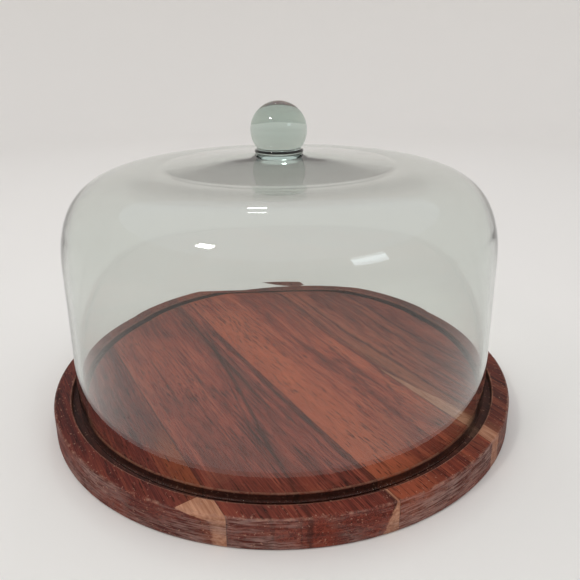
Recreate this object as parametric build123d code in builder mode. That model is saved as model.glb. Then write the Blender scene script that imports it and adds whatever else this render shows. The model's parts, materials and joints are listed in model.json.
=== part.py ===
from build123d import *
import os
from math import sqrt

# A round board of edge-glued hardwood staves, with a turned groove that locates a blown glass
# dome with a solid ball knob. Millimetres. The origin is the centre of the board's underside,
# +Z is up the dome's axis, and the staves run along Y.

# Board
board_diameter = 320.0
board_thickness = 19.0
arris_radius = 1.5
rim_width = 11.0
groove_width = 9.0
groove_depth = 5.0
groove_floor_radius = 1.0
groove_arris = 0.5
joint_positions = {"left": -103.0, "middle_left": -21.5, "middle_right": 56.0, "right": 114.0}

# Dome
glass_wall = 3.2
groove_clearance = 0.8
dome_height = 161.0
shoulder_height = 55.0
crown_radius = 78.0
crown_rise = 6.5
crown_thickness = 5.0
shoulder_upward_fullness = 0.9
shoulder_inward_fullness = 0.55
bend_share = 0.2
rim_radius = 1.2

# Knob
ball_radius = 18.8
neck_radius = 14.5
bead_radius = 1.8

# Places that follow from the sizes above
board_radius = board_diameter / 2
groove_outer_radius = board_radius - rim_width
groove_inner_radius = groove_outer_radius - groove_width
groove_floor = board_thickness - groove_depth

dome_inner_radius = groove_inner_radius + groove_clearance
dome_outer_radius = dome_inner_radius + glass_wall
knob_seat = groove_floor + dome_height
crown_edge = knob_seat - crown_rise
wall_top = crown_edge - shoulder_height
crown_underside = knob_seat - crown_thickness
seat_radius = neck_radius + bead_radius

os.makedirs("parts", exist_ok=True)


def shoulder(inset):
    """Add the curve that turns the upright wall over into the crown, inside a BuildLine.

    An inset of 0 gives the outside and one wall's thickness gives the inside. The inner control
    points move back by less than an even wall needs, so the wall thins a little round the bend,
    as blown glass does.
    """
    wall_radius = dome_outer_radius - inset
    reach = dome_outer_radius - crown_radius
    return Bezier(
        (wall_radius, wall_top),
        (wall_radius, wall_top + shoulder_upward_fullness * shoulder_height - bend_share * inset),
        (crown_radius + shoulder_inward_fullness * reach - bend_share * inset, crown_edge - inset),
        (crown_radius, crown_edge - inset),
    )


# The glued-up board after turning: a disc with softened edges and a flat-bottomed groove.
with BuildPart() as turned_board:
    with BuildSketch(Plane.XZ) as board_section:
        with BuildLine():
            Polyline(
                (0, 0),
                (board_radius, 0),
                (board_radius, board_thickness),
                (0, board_thickness),
                close=True,
            )
        make_face()
        fillet(board_section.vertices().group_by(Axis.X)[-1], radius=arris_radius)
    revolve(axis=Axis.Z)
    with BuildSketch(Plane.XZ) as groove_section:
        with Locations(((groove_inner_radius + groove_outer_radius) / 2, groove_floor)):
            Rectangle(groove_width, groove_depth, align=(Align.CENTER, Align.MIN))
        fillet(groove_section.vertices().group_by(Axis.Y)[0], radius=groove_floor_radius)
    revolve(axis=Axis.Z, mode=Mode.SUBTRACT)
    groove_mouth = (
        turned_board.edges()
        .filter_by(GeomType.CIRCLE)
        .filter_by(lambda edge: abs(edge.center().Z - board_thickness) < arris_radius / 2)
        .filter_by(lambda edge: edge.radius < board_radius - 2 * arris_radius)
    )
    chamfer(groove_mouth, length=groove_arris)


def make_stave(name, left, right):
    """Cut one stave out of the turned board, between its two upright glue faces."""
    with BuildPart() as stave:
        add(turned_board.part)
        with BuildSketch(Plane.XY):
            with Locations(((left + right) / 2, 0)):
                Rectangle(right - left, board_diameter)
        extrude(amount=board_thickness, mode=Mode.INTERSECT)
    stave.part.label = name
    export_step(stave.part, f"parts/{name}.step")


glue_faces = [-board_radius, *joint_positions.values(), board_radius]
stave_names = [
    "outer_stave_left",
    "wide_stave_left",
    "wide_stave_right",
    "narrow_stave",
    "outer_stave_right",
]
for stave_name, left_face, right_face in zip(stave_names, glue_faces[:-1], glue_faces[1:]):
    make_stave(stave_name, left_face, right_face)


# The glass shell: an upright wall with a fire-polished rim, a full shoulder, and a crown that
# thickens towards the middle, where it ends in a flat seat for the knob.
with BuildPart() as dome_shell:
    with BuildSketch(Plane.XZ) as shell_section:
        with BuildLine():
            outer_shoulder = shoulder(0)
            inner_shoulder = shoulder(glass_wall)
            Line((dome_outer_radius, groove_floor), outer_shoulder @ 0)
            Line((dome_inner_radius, groove_floor), inner_shoulder @ 0)
            Line((dome_inner_radius, groove_floor), (dome_outer_radius, groove_floor))
            Polyline(outer_shoulder @ 1, (seat_radius, knob_seat), (0, knob_seat))
            Polyline(inner_shoulder @ 1, (seat_radius, crown_underside), (0, crown_underside))
            Line((0, crown_underside), (0, knob_seat))
        make_face()
        fillet(shell_section.vertices().group_by(Axis.Y)[0], radius=rim_radius)
    revolve(axis=Axis.Z)

dome_shell.part.label = "dome_shell"
export_step(dome_shell.part, "parts/dome_shell.step")


# The knob: a solid glass ball on a short neck, with a bead where it is joined to the crown.
with BuildPart() as dome_knob:
    bead_top = knob_seat + 2 * bead_radius
    ball_centre = bead_top + sqrt(ball_radius**2 - neck_radius**2)
    with BuildSketch(Plane.XZ):
        with BuildLine():
            Line((0, knob_seat), (neck_radius, knob_seat))
            ThreePointArc(
                (neck_radius, knob_seat),
                (neck_radius + bead_radius, knob_seat + bead_radius),
                (neck_radius, bead_top),
            )
            ThreePointArc(
                (neck_radius, bead_top),
                (ball_radius, ball_centre),
                (0, ball_centre + ball_radius),
            )
            Line((0, ball_centre + ball_radius), (0, knob_seat))
        make_face()
    revolve(axis=Axis.Z)

dome_knob.part.label = "dome_knob"
export_step(dome_knob.part, "parts/dome_knob.step")
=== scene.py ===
# A round serving board of edge-glued acacia staves, under a blown glass dome with a ball knob.
# Metres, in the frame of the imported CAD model: +Z is up the dome's axis, the staves run along Y.
import json
import math
from collections import namedtuple
from types import SimpleNamespace

import bpy
import numpy as np
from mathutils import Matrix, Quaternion, Vector


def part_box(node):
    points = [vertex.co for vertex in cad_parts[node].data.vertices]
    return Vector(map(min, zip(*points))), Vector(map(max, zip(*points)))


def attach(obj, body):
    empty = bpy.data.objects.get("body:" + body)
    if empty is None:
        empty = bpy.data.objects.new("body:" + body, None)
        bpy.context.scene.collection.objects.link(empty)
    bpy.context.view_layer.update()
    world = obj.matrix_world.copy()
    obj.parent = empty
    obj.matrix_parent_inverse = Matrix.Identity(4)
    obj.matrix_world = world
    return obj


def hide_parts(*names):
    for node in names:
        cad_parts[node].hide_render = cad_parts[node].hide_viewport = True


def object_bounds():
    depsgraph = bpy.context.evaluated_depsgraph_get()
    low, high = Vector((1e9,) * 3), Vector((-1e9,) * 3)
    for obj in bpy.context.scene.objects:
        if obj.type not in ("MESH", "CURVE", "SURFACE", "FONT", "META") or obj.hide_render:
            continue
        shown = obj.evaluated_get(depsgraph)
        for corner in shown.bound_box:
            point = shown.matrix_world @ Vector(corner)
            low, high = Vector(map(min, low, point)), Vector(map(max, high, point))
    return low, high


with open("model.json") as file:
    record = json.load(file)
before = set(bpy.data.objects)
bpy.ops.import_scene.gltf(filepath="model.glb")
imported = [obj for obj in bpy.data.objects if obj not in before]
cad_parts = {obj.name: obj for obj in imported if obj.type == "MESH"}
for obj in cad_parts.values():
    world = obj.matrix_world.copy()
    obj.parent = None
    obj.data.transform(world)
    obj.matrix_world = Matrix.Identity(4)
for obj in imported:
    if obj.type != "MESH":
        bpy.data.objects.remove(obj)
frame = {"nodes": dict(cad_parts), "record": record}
cad_low, cad_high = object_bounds()


# ---------------------------------------------------------------------------------------------
# The studio: a round pale floor that curves up into its own backdrop, a pale sky and soft lamps.
# The floor is one turned sheet, so that there is no corner behind the glass from any side.
# ---------------------------------------------------------------------------------------------
floor_radius = 1.5
cove_radius = 0.6
backdrop_height = 1.6
floor_turns = 128
sky_strength = 0.92
lamp_aim_height = 0.1


def turned_mesh(name, profile, turns, wobble=None):
    """Turn a profile about Z: the point at step i and angle a is (r_i cos a, r_i sin a, z_i).

    A profile end on the axis becomes a single pole vertex. wobble(a, r, z) is an optional
    change of radius, worked out for the whole grid at once. Faces point to the left of the
    profile's direction of travel, seen with the axis on the left.
    """
    profile = np.asarray(profile, float)
    angle = np.arange(turns) * 2 * math.pi / turns
    radius = np.repeat(profile[:, :1], turns, axis=1)
    height = np.repeat(profile[:, 1:], turns, axis=1)
    if wobble is not None:
        radius = radius + wobble(angle[None, :], radius, height)
    grid = np.stack([radius * np.cos(angle), radius * np.sin(angle), height], axis=2)
    first_pole = profile[0, 0] < 1e-9
    last_pole = profile[-1, 0] < 1e-9
    rings = grid[int(first_pole) : len(grid) - int(last_pole)]
    points = rings.reshape(-1, 3)
    ring = np.arange(turns)
    after = (ring + 1) % turns
    base = (np.arange(len(rings) - 1) * turns)[:, None]
    quads = np.stack([base + ring, base + turns + ring, base + turns + after, base + after], axis=2)
    faces = quads.reshape(-1, 4).tolist()
    if first_pole:
        points = np.vstack([points, [0, 0, profile[0, 1]]])
        pole = np.full(turns, len(points) - 1)
        faces += np.stack([pole, ring, after], axis=1).tolist()
    if last_pole:
        points = np.vstack([points, [0, 0, profile[-1, 1]]])
        pole = np.full(turns, len(points) - 1)
        end = (len(rings) - 1) * turns
        faces += np.stack([end + ring, pole, end + after], axis=1).tolist()
    mesh = bpy.data.meshes.new(name)
    mesh.from_pydata(points.tolist(), [], faces)
    mesh.polygons.foreach_set("use_smooth", np.ones(len(mesh.polygons), bool))
    mesh.update()
    return mesh


def place(name, mesh, material):
    """Put a mesh into the scene as an object at the origin, with one material."""
    piece = bpy.data.objects.new(name, mesh)
    bpy.context.scene.collection.objects.link(piece)
    piece.data.materials.append(material)
    return piece


def linear(red, green, blue):
    """A colour given as 0 to 255 display values, as the linear colour that shaders use."""
    display = np.array([red, green, blue]) / 255
    light = np.where(display <= 0.04045, display / 12.92, ((display + 0.055) / 1.055) ** 2.4)
    return (*light.tolist(), 1.0)


def shader_node(tree, kind, inputs=None, **settings):
    """Add a node, apply its settings, and fill its inputs: a socket is linked, a value is set."""
    made = tree.nodes.new(kind)
    for setting, value in settings.items():
        setattr(made, setting, value)
    for socket, value in (inputs or {}).items():
        if isinstance(value, bpy.types.NodeSocket):
            tree.links.new(value, made.inputs[socket])
        else:
            made.inputs[socket].default_value = value
    return made


def new_material(name):
    """An empty node material: the material, its tree and its output node."""
    material = bpy.data.materials.new(name)
    material.use_nodes = True
    material.node_tree.nodes.clear()
    output = material.node_tree.nodes.new("ShaderNodeOutputMaterial")
    return material, material.node_tree, output


cove = np.linspace(0, math.pi / 2, 24)
cove_out = floor_radius + cove_radius * np.sin(cove)
cove_up = cove_radius * (1 - np.cos(cove))
floor_profile = np.vstack(
    [
        [(0, 0), (0.3, 0), (0.6, 0), (1.0, 0)],
        np.column_stack([cove_out, cove_up]),
        [(floor_radius + cove_radius, backdrop_height)],
    ]
)

paper, tree, output = new_material("backdrop_paper")
paper_shader = shader_node(
    tree, "ShaderNodeBsdfPrincipled", {"Base Color": linear(240, 237, 233), "Roughness": 0.9}
)
tree.links.new(paper_shader.outputs[0], output.inputs["Surface"])
floor = place("floor", turned_mesh("floor", floor_profile[::-1], floor_turns), paper)

world = bpy.data.worlds.new("studio_sky")
bpy.context.scene.world = world
world.use_nodes = True
sky = world.node_tree.nodes["Background"]
sky.inputs["Color"].default_value = linear(240, 241, 244)
sky.inputs["Strength"].default_value = sky_strength


def soft_lamp(name, azimuth, elevation, distance, width, height, power, colour):
    """A rectangular soft lamp that looks at the middle of the dome from a compass direction."""
    lamp = bpy.data.lights.new(name, "AREA")
    lamp.shape = "RECTANGLE"
    lamp.size = width
    lamp.size_y = height
    lamp.energy = power
    lamp.color = colour
    holder = bpy.data.objects.new(name, lamp)
    bpy.context.scene.collection.objects.link(holder)
    turn = math.radians(azimuth)
    rise = math.radians(elevation)
    outward = Vector(
        (math.sin(turn) * math.cos(rise), -math.cos(turn) * math.cos(rise), math.sin(rise))
    )
    holder.location = Vector((0, 0, lamp_aim_height)) + outward * distance
    holder.rotation_mode = "QUATERNION"
    holder.rotation_quaternion = (-outward).to_track_quat("-Z", "Y")
    holder.visible_camera = False


soft_lamp(
    "key_lamp",
    azimuth=-77,
    elevation=49,
    distance=1.5,
    width=0.18,
    height=0.14,
    power=4.0,
    colour=(1.0, 0.985, 0.96),
)
soft_lamp(
    "window_lamp",
    azimuth=15,
    elevation=26,
    distance=1.7,
    width=0.50,
    height=0.24,
    power=1.6,
    colour=(0.82, 0.92, 1.0),
)
soft_lamp(
    "back_lamp",
    azimuth=157,
    elevation=50,
    distance=1.6,
    width=0.10,
    height=0.05,
    power=1.0,
    colour=(1.0, 1.0, 1.0),
)

bpy.context.scene.view_settings.view_transform = "Standard"


# ---------------------------------------------------------------------------------------------
# The camera stands close, a little above the knob, and looks down at the dome's shoulder.
# ---------------------------------------------------------------------------------------------
camera_azimuth = math.radians(-29.5)
camera_elevation = math.radians(30.64)
camera_distance = 0.4633
camera_roll = -0.0103
focal_length_mm = 36.96
lens_shift = -0.0786
aim_right = 0.0067
aim_height = 0.1108

camera_data = bpy.data.cameras.new("camera")
camera_data.lens = focal_length_mm
camera_data.sensor_width = 36.0
camera_data.shift_y = lens_shift
camera_data.clip_start = 0.01
camera = bpy.data.objects.new("camera", camera_data)
bpy.context.scene.collection.objects.link(camera)
bpy.context.scene.camera = camera

towards_camera = Vector((math.sin(camera_azimuth), -math.cos(camera_azimuth), 0))
rightwards = Vector((math.cos(camera_azimuth), math.sin(camera_azimuth), 0))
camera.location = camera_distance * (
    towards_camera * math.cos(camera_elevation) + Vector((0, 0, math.sin(camera_elevation)))
)
aim = rightwards * aim_right + Vector((0, 0, aim_height))
camera.rotation_mode = "QUATERNION"
looking = (aim - camera.location).to_track_quat("-Z", "Y")
camera.rotation_quaternion = looking @ Quaternion((0, 0, 1), camera_roll)


# ---------------------------------------------------------------------------------------------
# The board: five acacia staves, planed and edge-glued, then turned to a disc with a groove for
# the dome's rim. Each stave was sawn from another part of a log, so colour and figure change at
# each glue line. The wood is oiled; its edges are pale, partly rubbed and partly a painted
# highlight, and the groove is nearly black, partly stain and partly painted shade.
# ---------------------------------------------------------------------------------------------
stave_names = frame["record"]["behaviour"]["bodies"]["board"]
board_radius = (cad_high.x - cad_low.x) / 2
board_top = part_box(stave_names[0])[1].z
right_faces = {stave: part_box(stave)[1].x for stave in stave_names}
left_joint = right_faces["outer_stave_left"]
middle_joint = right_faces["wide_stave_left"]
right_joint = right_faces["wide_stave_right"]
last_joint = right_faces["narrow_stave"]
rim_width = 0.011
groove_width = 0.009
groove_outer = board_radius - rim_width
groove_inner = groove_outer - groove_width

glue_colour = (40, 18, 14)
darker_rim_colour = (48, 22, 18)
sapwood_colours = [(152, 98, 72), (206, 154, 124)]
pore_colour = (30, 12, 9)
# Board side: saw marks, pale grey partly from sawdust and partly painted sheen.
sawn_side_dust_and_sheen_colours = [(66, 32, 28), (154, 128, 120)]
# Top outer edge: partly wear, partly painted highlight.
worn_edge_and_highlight_colour = (164, 124, 106)
scratch_colour = (150, 110, 98)
# Groove inside: partly dark stain, partly painted shade of the recess.
groove_stain_and_shade_colour = (44, 27, 22)
# Groove lips: partly wear, partly painted highlight.
lip_wear_and_highlight_colour = (158, 112, 92)
chip_colour = (172, 128, 108)
dark_vein = (50, 25, 20)


def scalar(tree, operation, first, second=0.0, third=0.0):
    """The result socket of one Math node."""
    inputs = {0: first, 1: second, 2: third}
    return shader_node(tree, "ShaderNodeMath", inputs, operation=operation).outputs[0]


def times(tree, first, second):
    """The product of two values, as the share of one mask that another lets through."""
    return scalar(tree, "MULTIPLY", first, second)


def pushed(tree, value, noise, amount):
    """A value moved by a noise, which leaves it alone at 0.5: value + amount (noise - 0.5)."""
    return scalar(tree, "MULTIPLY_ADD", scalar(tree, "SUBTRACT", noise, 0.5), amount, value)


def distance_from(tree, value, level):
    """How far a value is from a level, on either side of it."""
    return scalar(tree, "ABSOLUTE", scalar(tree, "SUBTRACT", value, level))


def length_of(tree, first, second):
    """The length of a two-part vector: the root of the sum of both squares."""
    return scalar(
        tree, "SQRT", scalar(tree, "MULTIPLY_ADD", first, first, times(tree, second, second))
    )


def smooth_step(tree, value, low, high):
    """0 below low, 1 above high, with a smooth rise between; low may be above high."""
    made = shader_node(
        tree,
        "ShaderNodeMapRange",
        {"Value": value, "From Min": low, "From Max": high},
        interpolation_type="SMOOTHSTEP",
    )
    return made.outputs[0]


def stained(tree, colour, share, stain):
    """A colour with a share of another one laid over it."""
    made = shader_node(
        tree, "ShaderNodeMix", {"Factor": share, "A": colour, "B": stain}, data_type="RGBA"
    )
    return made.outputs["Result"]


# Repeats for each metre across, along and up the board, then the noise's detail and roughness.
# Many repeats across and few along the grain (Y) make long thin marks.
grain_noises = {
    "sway": (13, 4, 13, 2, 0.5),
    "ripple": (70, 16, 70, 2, 0.5),
    "cloud": (30, 9, 30, 3, 0.5),
    "fibre": (760, 34, 760, 3, 0.65),
    "streak": (420, 60, 420, 2, 0.5),
    "hair": (1900, 26, 1900, 2, 0.7),
    "ragged": (330, 11, 330, 4, 0.6),
    "pores": (1250, 105, 1250, 1, 0.5),
    "flecks": (560, 62, 560, 1, 0.5),
    "open_grain": (35, 12, 35, 2, 0.5),
    "rub": (260, 260, 500, 4, 0.7),
    "scratch": (90, 500, 700, 3, 0.6),
    "saw_marks": (46, 46, 300, 5, 0.7),
    "saw_lines": (95, 95, 1200, 3, 0.7),
    "dust": (24, 24, 60, 3, 0.6),
    "chips": (640, 420, 640, 2, 0.6),
}


def stave_grain(tree, position, log_place):
    """The grain noises of one stave, which lies at log_place in the noise's endless log."""
    in_log = shader_node(
        tree, "ShaderNodeMapping", {"Vector": position, "Location": log_place}
    ).outputs[0]
    noises = {}
    for name, (across, along, upward, detail, roughness) in grain_noises.items():
        drawn_out = shader_node(
            tree, "ShaderNodeMapping", {"Vector": in_log, "Scale": (across, along, upward)}
        ).outputs[0]
        made = shader_node(
            tree,
            "ShaderNodeTexNoise",
            {"Vector": drawn_out, "Scale": 1.0, "Detail": detail, "Roughness": roughness},
        )
        noises[name] = made.outputs[0]
    return SimpleNamespace(**noises)


def heartwood(tree, at, grain, pith, tones):
    """The wood's ground colour, from dark through middle to light.

    Growth rings are distances from a pith line beside the stave, pushed about by slow noises,
    and each ring's tone is a noise of that one distance. Patches, fibres and streaks add to it.
    """
    bent = pushed(tree, at.across, grain.sway, 0.016)
    bent = pushed(tree, bent, grain.ripple, 0.0045)
    ring_distance = length_of(
        tree, scalar(tree, "SUBTRACT", bent, pith[0]), scalar(tree, "SUBTRACT", at.upward, pith[1])
    )
    rings = shader_node(
        tree,
        "ShaderNodeTexNoise",
        {"W": ring_distance, "Scale": 210.0, "Detail": 5.0, "Roughness": 0.62},
        noise_dimensions="1D",
    ).outputs[0]
    tone = pushed(tree, 0.5, rings, 0.95)
    tone = pushed(tree, tone, grain.cloud, 1.1)
    tone = pushed(tree, tone, grain.fibre, 1.1)
    tone = pushed(tree, tone, grain.hair, 1.35)
    tone = pushed(tree, tone, grain.streak, 0.55)
    dark, middle, light = tones
    ramp = shader_node(tree, "ShaderNodeValToRGB", {"Fac": tone})
    ramp.color_ramp.elements[0].position = 0.15
    ramp.color_ramp.elements[0].color = linear(*dark)
    ramp.color_ramp.elements[1].position = 0.88
    ramp.color_ramp.elements[1].color = linear(*light)
    ramp.color_ramp.elements.new(0.52).color = linear(*middle)
    return ramp.outputs["Color"]


Band = namedtuple("Band", "x slope width share colour back_y front_y")


def with_bands(tree, colour, at, grain, bands):
    """Broad glowing bands and narrow dark veins along the line x + slope y.

    A band is strongest along its middle, with ragged feathered sides, and fades in and out over
    4 cm at each of its two ends, back_y and front_y.
    """
    rippled = pushed(tree, at.across, grain.ripple, 0.005)
    strands = scalar(tree, "MULTIPLY_ADD", grain.hair, 0.35, times(tree, grain.fibre, 0.2))
    for band in bands:
        middle = scalar(tree, "MULTIPLY_ADD", at.along, band.slope, band.x)
        apart = distance_from(tree, rippled, middle)
        apart = pushed(tree, apart, grain.ragged, band.width * 1.3)
        cover = smooth_step(tree, apart, band.width, band.width * 0.15)
        behind = smooth_step(tree, at.along, band.back_y + 0.02, band.back_y - 0.02)
        before = smooth_step(tree, at.along, band.front_y - 0.02, band.front_y + 0.02)
        cover = times(tree, times(tree, cover, behind), before)
        tint = stained(tree, linear(*band.colour), strands, colour)
        colour = stained(tree, colour, times(tree, cover, band.share), tint)
    return colour


def with_glue_lines(tree, colour, at):
    """A thin dark line at each glued joint, and the whole rim a little darker than the middle."""
    for joint in [left_joint, middle_joint, right_joint, last_joint]:
        seam = smooth_step(tree, distance_from(tree, at.across, joint), 0.0007, 0.0002)
        colour = stained(tree, colour, times(tree, seam, 0.6), linear(*glue_colour))
    # Darker from the groove outwards, evenly all round.
    rim = smooth_step(tree, at.radius, groove_inner - 0.001, groove_outer)
    return stained(tree, colour, times(tree, rim, 0.36), linear(*darker_rim_colour))


# inward is the direction from the edge into the stave, -1 or 1. From start_y the sapwood widens
# by spread for each metre towards the front, up to wide at the top and taper less for each
# metre down, but never below narrow.
Sapwood = namedtuple("Sapwood", "edge_x inward start_y spread wide taper narrow share")


def with_sapwood(tree, colour, at, grain, sapwood):
    """Pale sapwood along one edge of a stave: the colour, and a mask of where it lies."""
    pale_fibre = scalar(tree, "MULTIPLY_ADD", grain.streak, 0.5, times(tree, grain.fibre, 0.5))
    darker, lighter = sapwood_colours
    pale_share = smooth_step(tree, pale_fibre, 0.3, 0.72)
    pale = stained(tree, linear(*darker), pale_share, linear(*lighter))
    inset = times(tree, scalar(tree, "SUBTRACT", at.across, sapwood.edge_x), sapwood.inward)
    depth = scalar(tree, "SUBTRACT", board_top, at.upward)
    width = scalar(tree, "MULTIPLY_ADD", depth, -sapwood.taper, sapwood.wide)
    width = scalar(tree, "MAXIMUM", width, sapwood.narrow)
    reach = times(tree, scalar(tree, "SUBTRACT", sapwood.start_y, at.along), sapwood.spread)
    width = pushed(tree, scalar(tree, "MINIMUM", width, reach), grain.ragged, 0.004)
    cover = smooth_step(tree, scalar(tree, "SUBTRACT", inset, width), 0.0005, -0.0007)
    return stained(tree, colour, times(tree, cover, sapwood.share), pale), cover


def open_pores(tree, grain, flecked, sap_cover):
    """A mask of fine open pores and coarser dark flecks, in patches and fewer in sapwood."""
    limit = scalar(tree, "MULTIPLY_ADD", grain.open_grain, 0.26, 0.20 + 0.05 * flecked)
    pore = smooth_step(tree, scalar(tree, "SUBTRACT", grain.pores, limit), 0.03, -0.05)
    fleck = smooth_step(tree, scalar(tree, "SUBTRACT", grain.flecks, limit), 0.04, -0.04)
    marks = scalar(tree, "MAXIMUM", pore, times(tree, fleck, flecked))
    return times(tree, marks, scalar(tree, "MULTIPLY_ADD", sap_cover, -0.6, 0.72))


def with_sawn_side(tree, colour, at, grain, side):
    """Saw marks on the board's side, pale grey in patches that grow towards +X: partly sawdust held
    in the marks and partly a painted sheen.
    """
    marks = scalar(tree, "MULTIPLY_ADD", grain.saw_lines, 1.1, times(tree, grain.saw_marks, 0.6))
    marks = smooth_step(tree, marks, 0.68, 1.02)
    bare, dusted_and_sheened = sawn_side_dust_and_sheen_colours
    side_dust_and_sheen = stained(tree, linear(*bare), marks, linear(*dusted_and_sheened))
    # Painted sheen, partly real sawdust: pale grey patches over the side, more towards +X.
    dust = scalar(tree, "MULTIPLY_ADD", at.across, 0.6, grain.dust)
    cover = times(tree, side, smooth_step(tree, dust, 0.24, 0.68))
    return stained(tree, colour, times(tree, cover, 0.8), side_dust_and_sheen)


def with_worn_and_highlit_rim(tree, colour, at, grain):
    """The outer top edge pale in places, partly rubbed and partly a painted highlight, and thin
    scratches across the rim beside it.
    """
    edge = times(
        tree,
        smooth_step(tree, at.upward, board_top - 0.0014, board_top - 0.0004),
        smooth_step(tree, at.radius, board_radius - 0.0019, board_radius - 0.0009),
    )
    # Painted highlight along the rounded top edge, partly real wear.
    worn_and_highlit = times(tree, edge, smooth_step(tree, grain.rub, 0.46, 0.72))
    colour = stained(tree, colour, times(tree, worn_and_highlit, 0.7), linear(*worn_edge_and_highlight_colour))
    near_edge = smooth_step(tree, at.radius, board_radius - 0.009, board_radius - 0.002)
    scratched = times(tree, near_edge, smooth_step(tree, grain.scratch, 0.66, 0.74))
    return stained(tree, colour, times(tree, scratched, 0.45), linear(*scratch_colour))


def with_groove(tree, colour, at, grain):
    """The groove darkened below the top, partly stain and partly painted shade, its two lips
    pale, partly wear and partly painted highlight, and small chips in the rim.
    """
    in_groove = times(
        tree,
        smooth_step(tree, at.radius, groove_inner - 0.0006, groove_inner - 0.0001),
        smooth_step(tree, at.radius, groove_outer + 0.0006, groove_outer + 0.0001),
    )
    # Painted shade, partly dark stain: the groove's inside is darkened below the top.
    below = smooth_step(tree, at.upward, board_top - 0.0004, board_top - 0.0014)
    below = times(tree, in_groove, below)
    colour = stained(tree, colour, times(tree, below, 0.78), linear(*groove_stain_and_shade_colour))

    # Painted highlight, partly real wear: a pale line along both lips of the groove.
    near_top = smooth_step(tree, at.upward, board_top - 0.0011, board_top - 0.0005)
    lip_wear_and_highlight = times(tree, near_top, smooth_step(tree, grain.rub, 0.32, 0.6))
    from_middle = distance_from(tree, at.radius, (groove_inner + groove_outer) / 2)
    from_lip = distance_from(tree, from_middle, groove_width / 2 + 0.0003)
    lip_wear_and_highlight = times(tree, lip_wear_and_highlight, smooth_step(tree, from_lip, 0.0007, 0.0002))
    colour = stained(tree, colour, times(tree, lip_wear_and_highlight, 0.7), linear(*lip_wear_and_highlight_colour))

    near_groove = smooth_step(tree, at.radius, groove_inner - 0.012, groove_outer)
    chips = times(tree, near_groove, smooth_step(tree, grain.chips, 0.64, 0.70))
    return stained(tree, colour, times(tree, chips, 0.6), linear(*chip_colour))


def acacia(name, log_place, pith, tones, flecked, bands=(), sapwood=None):
    """Oiled acacia with the grain along Y, built up in the order of the functions above."""
    material, tree, output = new_material(name)
    position = tree.nodes.new("ShaderNodeTexCoord").outputs["Object"]
    parts = shader_node(tree, "ShaderNodeSeparateXYZ", {0: position}).outputs
    at = SimpleNamespace(across=parts[0], along=parts[1], upward=parts[2])
    at.radius = length_of(tree, at.across, at.along)
    grain = stave_grain(tree, position, log_place)

    colour = heartwood(tree, at, grain, pith, tones)
    colour = with_bands(tree, colour, at, grain, bands)
    colour = with_glue_lines(tree, colour, at)
    sap_cover = 0.0
    if sapwood is not None:
        colour, sap_cover = with_sapwood(tree, colour, at, grain, sapwood)
    pores = open_pores(tree, grain, flecked, sap_cover)
    colour = stained(tree, colour, pores, linear(*pore_colour))
    side = smooth_step(tree, at.radius, board_radius - 0.0014, board_radius - 0.0004)
    colour = with_sawn_side(tree, colour, at, grain, side)
    colour = with_worn_and_highlit_rim(tree, colour, at, grain)
    colour = with_groove(tree, colour, at, grain)

    relief = scalar(tree, "MULTIPLY_ADD", grain.fibre, 0.5, times(tree, pores, -1.0))
    relief = scalar(tree, "MULTIPLY_ADD", times(tree, side, grain.saw_marks), 0.9, relief)
    bump = shader_node(
        tree, "ShaderNodeBump", {"Height": relief, "Strength": 0.4, "Distance": 0.00022}
    )
    dryness = scalar(tree, "MULTIPLY_ADD", grain.fibre, 0.45, times(tree, grain.rub, 0.55))
    dryness = scalar(tree, "MULTIPLY_ADD", side, 0.35, dryness)
    roughness = shader_node(
        tree, "ShaderNodeMapRange", {"Value": dryness, "To Min": 0.34, "To Max": 0.72}
    ).outputs[0]
    wood = shader_node(
        tree,
        "ShaderNodeBsdfPrincipled",
        {
            "Base Color": colour,
            "Roughness": roughness,
            "Normal": bump.outputs[0],
            "Specular IOR Level": 0.12,
            "IOR": 1.5,
        },
    )
    tree.links.new(wood.outputs[0], output.inputs["Surface"])
    return material


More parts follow.
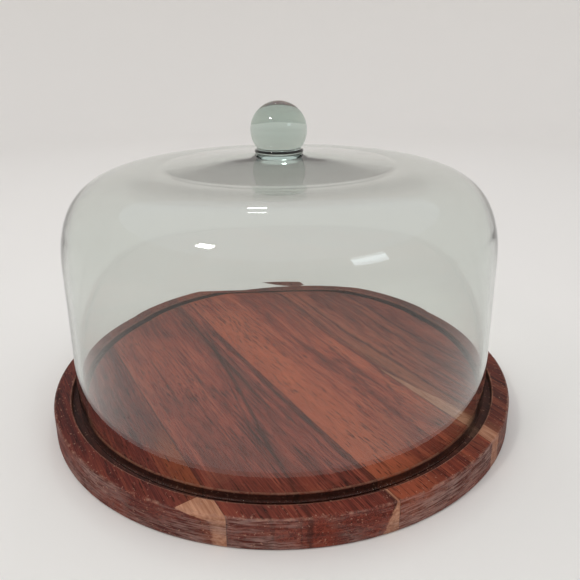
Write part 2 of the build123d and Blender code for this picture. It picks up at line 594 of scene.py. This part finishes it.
stave_woods = {
    "outer_stave_left": acacia(
        "acacia_outer_left",
        log_place=(0.31, 0.12, 0.05),
        pith=(-0.19, -0.05),
        tones=[(68, 26, 24), (112, 47, 39), (142, 68, 52)],
        flecked=0.35,
        bands=[Band(left_joint - 0.004, 0.0, 0.013, 0.8, (158, 80, 44), -0.04, -0.13)],
        sapwood=Sapwood(
            edge_x=left_joint,
            inward=-1,
            start_y=-0.101,
            spread=12,
            wide=0.021,
            taper=3.7,
            narrow=0.006,
            share=0.92,
        ),
    ),
    "wide_stave_left": acacia(
        "acacia_wide_left",
        log_place=(0.83, 0.47, 0.21),
        pith=(-0.075, -0.07),
        tones=[(82, 35, 28), (136, 60, 46), (166, 84, 63)],
        flecked=0.25,
        bands=[
            Band(-0.036, 0.02, 0.009, 0.65, (78, 46, 40), 0.2, -0.03),
            Band(-0.040, 0.12, 0.006, 0.5, (150, 68, 48), -0.05, -0.2),
            Band(-0.085, 0.02, 0.011, 0.4, (142, 68, 54), 0.05, -0.2),
            Band(-0.090, 0.0, 0.010, 0.6, (80, 38, 32), -0.085, -0.12),
            Band(-0.042, 0.174, 0.0024, 0.9, dark_vein, 0.07, -0.2),
            Band(-0.047, 0.172, 0.0010, 0.6, dark_vein, 0.02, -0.2),
            Band(-0.036, 0.03, 0.0018, 0.85, dark_vein, 0.12, -0.05),
            Band(-0.031, 0.02, 0.0009, 0.8, dark_vein, 0.10, -0.08),
            Band(middle_joint - 0.0026, 0.0, 0.0030, 0.92, dark_vein, 0.09, -0.2),
            Band(-0.064, 0.02, 0.0010, 0.75, dark_vein, 0.06, -0.01),
            Band(-0.085, 0.05, 0.0010, 0.75, dark_vein, 0.06, -0.02),
            Band(-0.078, 0.05, 0.0016, 0.7, dark_vein, -0.118, -0.2),
        ],
        sapwood=Sapwood(
            edge_x=middle_joint,
            inward=-1,
            start_y=-0.142,
            spread=0.9,
            wide=0.0015,
            taper=-0.42,
            narrow=0.0,
            share=0.9,
        ),
    ),
    "wide_stave_right": acacia(
        "acacia_wide_right",
        log_place=(0.11, 0.93, 0.37),
        pith=(0.09, -0.09),
        tones=[(108, 46, 34), (152, 70, 50), (180, 95, 68)],
        flecked=0.6,
        bands=[
            Band(middle_joint + 0.014, 0.03, 0.028, 0.7, (196, 102, 68), 0.1, -0.2),
            Band(0.048, 0.0, 0.014, 0.5, (98, 50, 42), 0.2, 0.02),
            Band(0.047, 0.0, 0.013, 0.75, (84, 38, 30), -0.105, -0.2),
            Band(0.020, 0.0, 0.006, 0.55, (92, 44, 36), -0.09, -0.135),
            Band(0.044, 0.05, 0.0012, 0.6, dark_vein, 0.08, -0.08),
        ],
    ),
    "narrow_stave": acacia(
        "acacia_narrow",
        log_place=(0.57, 0.71, 0.63),
        pith=(0.03, -0.06),
        tones=[(70, 32, 26), (124, 60, 46), (156, 86, 65)],
        flecked=0.4,
        bands=[
            Band(right_joint + 0.008, -0.03, 0.008, 0.6, (146, 90, 64), 0.0, -0.2),
            Band(right_joint + 0.016, 0.0, 0.0018, 0.8, dark_vein, 0.1, -0.12),
            Band(right_joint + 0.003, 0.02, 0.0012, 0.9, dark_vein, 0.2, 0.01),
            Band(last_joint - 0.012, 0.04, 0.0020, 0.6, dark_vein, 0.1, -0.2),
            Band(last_joint - 0.022, 0.03, 0.0014, 0.6, dark_vein, 0.1, -0.2),
        ],
        sapwood=Sapwood(
            edge_x=right_joint,
            inward=1,
            start_y=-0.045,
            spread=0.16,
            wide=0.0105,
            taper=0.0,
            narrow=0.0105,
            share=0.78,
        ),
    ),
    "outer_stave_right": acacia(
        "acacia_outer_right",
        log_place=(0.77, 0.29, 0.81),
        pith=(0.15, -0.11),
        tones=[(66, 28, 23), (114, 50, 39), (146, 73, 55)],
        flecked=0.4,
        bands=[Band(last_joint + 0.001, 0.0, 0.0012, 0.9, dark_vein, 0.2, -0.2)],
    ),
}

for stave, wood in stave_woods.items():
    board_piece = frame["nodes"][stave]
    board_piece.data.materials.clear()
    board_piece.data.materials.append(wood)


# ---------------------------------------------------------------------------------------------
# The glass: a blown shell with an upright wall and a full shoulder, whose crown thickens to the
# middle, and a solid ball knob joined to it hot. Fused glass has no surface inside the joint, so
# shell and knob are one closed skin here: down the outside, round the rim and up the inside.
# ---------------------------------------------------------------------------------------------
shell_low, shell_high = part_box("dome_shell")
knob_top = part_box("dome_knob")[1].z
glass_wall = 0.0032
shoulder_height = 0.055
crown_radius = 0.078
crown_rise = 0.0065
crown_thickness = 0.005
shoulder_upward_fullness = 0.9
shoulder_inward_fullness = 0.55
bend_share = 0.2
rim_round = 0.0012
ball_radius = 0.0188
neck_radius = 0.0145
bead_radius = 0.0018
glass_turns = 288
wave_height = 0.00006
small_wave_height = 0.00002
waves_start_radius = 0.05
waves_full_radius = 0.10

dome_radius = shell_high.x
inside_radius = dome_radius - glass_wall
knob_seat = shell_high.z
rim_height = shell_low.z
crown_edge = knob_seat - crown_rise
wall_top = crown_edge - shoulder_height
crown_underside = knob_seat - crown_thickness
ball_centre = knob_top - ball_radius
neck_angle = math.degrees(math.acos(neck_radius / ball_radius))
seat_radius = neck_radius + bead_radius

# The profile's straight runs stop short of its curves by these gaps. At its gap the crown has
# already risen a little, on top and underneath.
crown_gap = 0.002
top_rise_at_gap = 0.0002
underside_rise_at_gap = 0.0001
wall_gap = 0.004
underside_last_ring = 0.008


def arc(centre, radius, start, end, steps):
    """Points on a circle between two angles, in degrees from the outward direction."""
    turn = np.radians(np.linspace(start, end, steps))
    return np.column_stack([centre[0] + radius * np.cos(turn), centre[1] + radius * np.sin(turn)])


def stretch(start, end, steps):
    """Evenly spaced points on a straight run."""
    share = np.linspace(0, 1, steps)[:, None]
    return np.array(start) * (1 - share) + np.array(end) * share


def shoulder(inset, steps):
    """The cubic curve from the crown's edge out and down to the top of the upright wall.

    The point at t is the cubic Bezier mix of the control points p0 to p3. An inset of 0 gives
    the outside and one wall's thickness gives the inside. The two middle control points move
    back by less than an even wall needs, so the wall thins a little round the bend.
    """
    upward = shoulder_upward_fullness * shoulder_height - bend_share * inset
    inward = shoulder_inward_fullness * (dome_radius - crown_radius) - bend_share * inset
    p0 = np.array([crown_radius, crown_edge - inset])
    p1 = np.array([crown_radius + inward, crown_edge - inset])
    p2 = np.array([dome_radius - inset, wall_top + upward])
    p3 = np.array([dome_radius - inset, wall_top])
    t = np.linspace(0, 1, steps)[:, None]
    return (1 - t) ** 3 * p0 + 3 * (1 - t) ** 2 * t * p1 + 3 * (1 - t) * t**2 * p2 + t**3 * p3


glass_profile = np.vstack(
    [
        arc((0, ball_centre), ball_radius, 90, -neck_angle, 40),
        arc((neck_radius, knob_seat + bead_radius), bead_radius, 80, -60, 10),
        stretch(
            (seat_radius, knob_seat),
            (crown_radius - crown_gap, crown_edge + top_rise_at_gap),
            20,
        ),
        shoulder(0, 60),
        stretch((dome_radius, wall_top - wall_gap), (dome_radius, rim_height + wall_gap), 36),
        arc((dome_radius - rim_round, rim_height + rim_round), rim_round, 0, -90, 6),
        arc((inside_radius + rim_round, rim_height + rim_round), rim_round, -90, -180, 6),
        stretch((inside_radius, rim_height + wall_gap), (inside_radius, wall_top - wall_gap), 36),
        shoulder(glass_wall, 60)[::-1],
        stretch(
            (crown_radius - crown_gap, crown_edge - glass_wall + underside_rise_at_gap),
            (seat_radius, crown_underside),
            20,
        ),
        [(underside_last_ring, crown_underside), (0, crown_underside)],
    ]
)
glass_profile[0, 0] = 0.0


def blown_waves(angle, radius, height):
    """A blown wall is never quite even: two slow waves round it, out of step inside and out.

    The first wave is wave_height cos(2 a + 9 z) outside and cos(3 a - 11 z) inside, the second
    and smaller one has five and seven turns. Both grow from nothing near the crown's middle.
    """
    inside = radius < inside_radius + glass_wall / 4
    growth = (radius - waves_start_radius) / (waves_full_radius - waves_start_radius)
    outer = wave_height * np.cos(2 * angle + 0.6 + 9 * height)
    outer += small_wave_height * np.cos(5 * angle + 17 * height)
    inner = wave_height * np.cos(3 * angle + 1.9 - 11 * height)
    inner += small_wave_height * np.cos(7 * angle + 19 * height)
    return np.clip(growth, 0, 1) * np.where(inside, inner, outer)


glass, tree, output = new_material("blown_glass")
clear_glass = shader_node(
    tree,
    "ShaderNodeBsdfPrincipled",
    {
        "Base Color": (0.898, 0.910, 0.893, 1.0),
        "Roughness": 0.0,
        "IOR": 1.47,
        "Transmission Weight": 1.0,
    },
)
lamp_through = shader_node(tree, "ShaderNodeBsdfTransparent", {"Color": (0.96, 0.96, 0.96, 1.0)})
ray = tree.nodes.new("ShaderNodeLightPath")
glass_mix = shader_node(
    tree,
    "ShaderNodeMixShader",
    {0: ray.outputs["Is Shadow Ray"], 1: clear_glass.outputs[0], 2: lamp_through.outputs[0]},
)
tree.links.new(glass_mix.outputs[0], output.inputs["Surface"])
glass_body = shader_node(
    tree, "ShaderNodeVolumeAbsorption", {"Color": (0.37, 0.56, 0.48, 1.0), "Density": 20.0}
)
tree.links.new(glass_body.outputs[0], output.inputs["Volume"])

dome_mesh = turned_mesh("glass_dome", glass_profile, glass_turns, blown_waves)
dome = place("glass_dome", dome_mesh, glass)
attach(dome, "dome")
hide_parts("dome_shell", "dome_knob")
